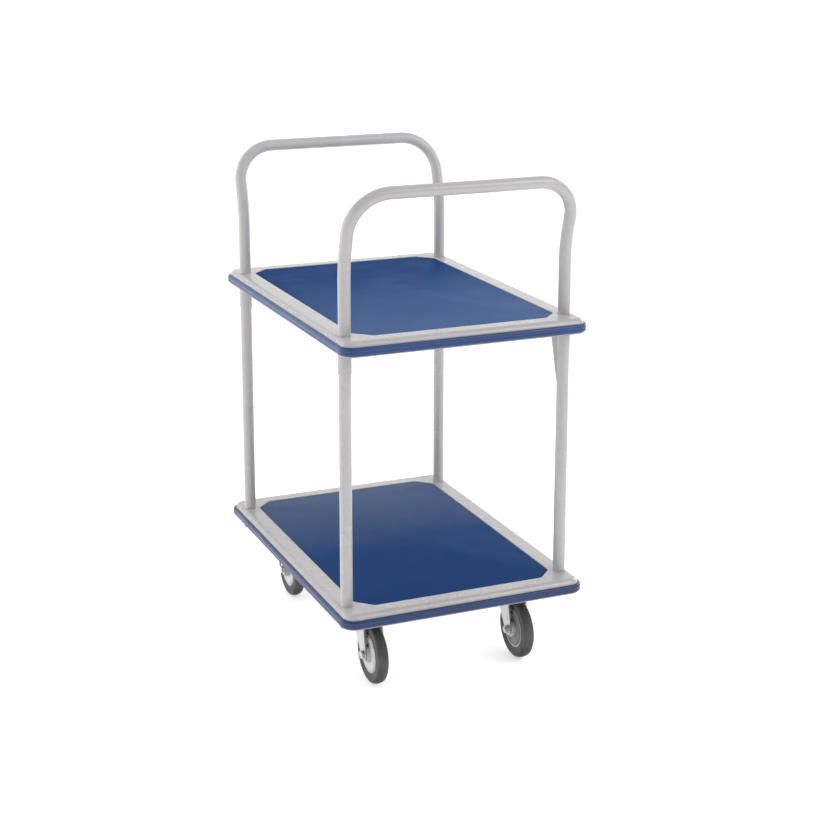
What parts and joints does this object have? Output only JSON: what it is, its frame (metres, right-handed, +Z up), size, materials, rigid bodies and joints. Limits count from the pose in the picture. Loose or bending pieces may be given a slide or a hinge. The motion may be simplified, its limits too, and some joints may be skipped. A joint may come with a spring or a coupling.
{
  "type": "two-tier platform trolley",
  "caption": "Two-tier platform trolley: flat steel decks with inset mats and bumper strips on bent tube hoops that form push handles, rolling on swivel and rigid casters.",
  "frame": {"origin": "on the floor, under the middle of the trolley", "axes": "+Z up, +Y towards the rigid casters' end (rear), -Y towards the swivel casters' end (front), +X to the right when seen from the front"},
  "size_m": [0.528, 0.75, 1.0339],
  "materials": {
    "powder_coat": "satin light grey powder coat with a faint orange-peel texture",
    "mat_blue": "finely grained matt blue rubber",
    "bumper_blue": "satin blue soft strip",
    "zinc_pressed": "bright zinc-plated pressed steel",
    "zinc_screws": "zinc-plated steel fasteners",
    "bright_steel": "plain bright steel",
    "rim_plastic": "satin light grey moulded plastic",
    "cover_plastic": "satin light grey moulded plastic",
    "tyre_grey": "grey non-marking rubber",
    "bearing_plastic": "dark bush",
    "plug_plastic": "dark grey plastic"
  },
  "bodies": {
    "frame": {"lower_deck": "powder_coat", "lower_mat": "mat_blue", "lower_bumper": "bumper_blue", "upper_deck": "powder_coat", "upper_mat": "mat_blue", "upper_bumper": "bumper_blue", "front_hoop": "powder_coat", "rear_hoop": "powder_coat", "front_channel": "powder_coat", "rear_channel": "powder_coat", "upper_stiffeners": "powder_coat", "front_webs": "powder_coat", "lower_sockets": "powder_coat", "upper_collars": "powder_coat", "socket_screws": "zinc_screws", "collar_screws": "zinc_screws", "leg_plugs": "plug_plastic", "caster_bolts": "zinc_screws", "caster_nuts": "zinc_screws", "front_left_plate": "zinc_pressed", "front_left_kingpin": "zinc_screws", "front_right_plate": "zinc_pressed", "front_right_kingpin": "zinc_screws", "rear_left_bracket": "zinc_pressed", "rear_left_axle": "zinc_screws", "rear_left_nut": "zinc_screws", "rear_left_spacer": "bright_steel", "rear_right_bracket": "zinc_pressed", "rear_right_axle": "zinc_screws", "rear_right_nut": "zinc_screws", "rear_right_spacer": "bright_steel"},
    "swivel_front_left": {"front_left_fork": "zinc_pressed", "front_left_balls": "bright_steel", "front_left_axle": "zinc_screws", "front_left_nut": "zinc_screws", "front_left_spacer": "bright_steel"},
    "wheel_front_left": {"front_left_rim": "rim_plastic", "front_left_tyre": "tyre_grey", "front_left_covers": "cover_plastic", "front_left_bearing": "bearing_plastic"},
    "swivel_front_right": {"front_right_fork": "zinc_pressed", "front_right_balls": "bright_steel", "front_right_axle": "zinc_screws", "front_right_nut": "zinc_screws", "front_right_spacer": "bright_steel"},
    "wheel_front_right": {"front_right_rim": "rim_plastic", "front_right_tyre": "tyre_grey", "front_right_covers": "cover_plastic", "front_right_bearing": "bearing_plastic"},
    "wheel_rear_left": {"rear_left_rim": "rim_plastic", "rear_left_tyre": "tyre_grey", "rear_left_covers": "cover_plastic", "rear_left_bearing": "bearing_plastic"},
    "wheel_rear_right": {"rear_right_rim": "rim_plastic", "rear_right_tyre": "tyre_grey", "rear_right_covers": "cover_plastic", "rear_right_bearing": "bearing_plastic"}
  },
  "joints": [
    {"name": "front_left_swivel", "type": "hinge", "parent": "frame", "child": "swivel_front_left", "pos_m": [-0.163, -0.235, 0.1455], "axis": [0, 0, 1], "continuous": true},
    {"name": "front_left_roll", "type": "hinge", "parent": "swivel_front_left", "child": "wheel_front_left", "pos_m": [-0.163, -0.265, 0.0625], "axis": [1, 0, 0], "continuous": true},
    {"name": "front_right_swivel", "type": "hinge", "parent": "frame", "child": "swivel_front_right", "pos_m": [0.163, -0.235, 0.1455], "axis": [0, 0, 1], "continuous": true},
    {"name": "front_right_roll", "type": "hinge", "parent": "swivel_front_right", "child": "wheel_front_right", "pos_m": [0.163, -0.265, 0.0625], "axis": [1, 0, 0], "continuous": true},
    {"name": "rear_left_roll", "type": "hinge", "parent": "frame", "child": "wheel_rear_left", "pos_m": [-0.163, 0.235, 0.0625], "axis": [1, 0, 0], "continuous": true},
    {"name": "rear_right_roll", "type": "hinge", "parent": "frame", "child": "wheel_rear_right", "pos_m": [0.163, 0.235, 0.0625], "axis": [1, 0, 0], "continuous": true}
  ]
}
